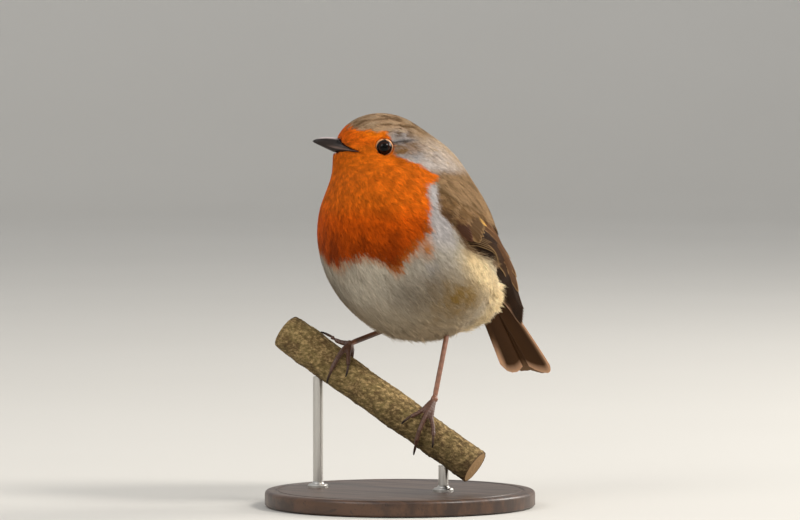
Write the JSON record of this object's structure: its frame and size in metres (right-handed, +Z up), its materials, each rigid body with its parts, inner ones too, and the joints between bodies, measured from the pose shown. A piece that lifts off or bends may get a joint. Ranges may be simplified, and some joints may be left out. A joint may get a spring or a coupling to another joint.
{
  "type": "european robin",
  "caption": "Still model of a perched songbird with an orange breast, fluffed plumage and turned head, gripping a cut length of branch on a small display stand.",
  "frame": {"origin": "centre of the display base's underside", "axes": "+Z up; the body faces -Y, the bird's left side is +X, and the head is turned towards its right shoulder"},
  "size_m": [0.086, 0.1146, 0.1252],
  "materials": {
    "plumage": "soft, matt contour feathers: orange face and breast, olive-brown back, off-white belly",
    "wing_feathers": "satin brown vanes with paler edges",
    "tail_feathers": "satin dark brown vanes with buff edges",
    "eye": "wet, glossy near-black",
    "bill": "satin dark grey horn",
    "leg_scales": "smooth scales, satin, pinkish brown",
    "claw": "satin dark horn",
    "bark": "speckled greenish-brown bark",
    "base_wood": "dark satin wood",
    "rod_metal": "satin"
  },
  "bodies": {
    "root": {"head": "plumage", "neck": "plumage", "trunk": "plumage", "thigh_left": "plumage", "thigh_right": "plumage", "wing_left": "wing_feathers", "wing_right": "wing_feathers", "primaries_left": "wing_feathers", "primaries_right": "wing_feathers", "tail": "tail_feathers", "eye_left": "eye", "eye_right": "eye", "bill_upper": "bill", "bill_lower": "bill", "shank_left": "leg_scales", "shank_right": "leg_scales", "foot_left": "leg_scales", "foot_right": "leg_scales", "claw_inner_left": "claw", "claw_middle_left": "claw", "claw_outer_left": "claw", "claw_hind_left": "claw", "claw_inner_right": "claw", "claw_middle_right": "claw", "claw_outer_right": "claw", "claw_hind_right": "claw", "perch": "bark", "stand_base": "base_wood", "stand_rod_1": "rod_metal", "stand_rod_2": "rod_metal"}
  },
  "joints": []
}
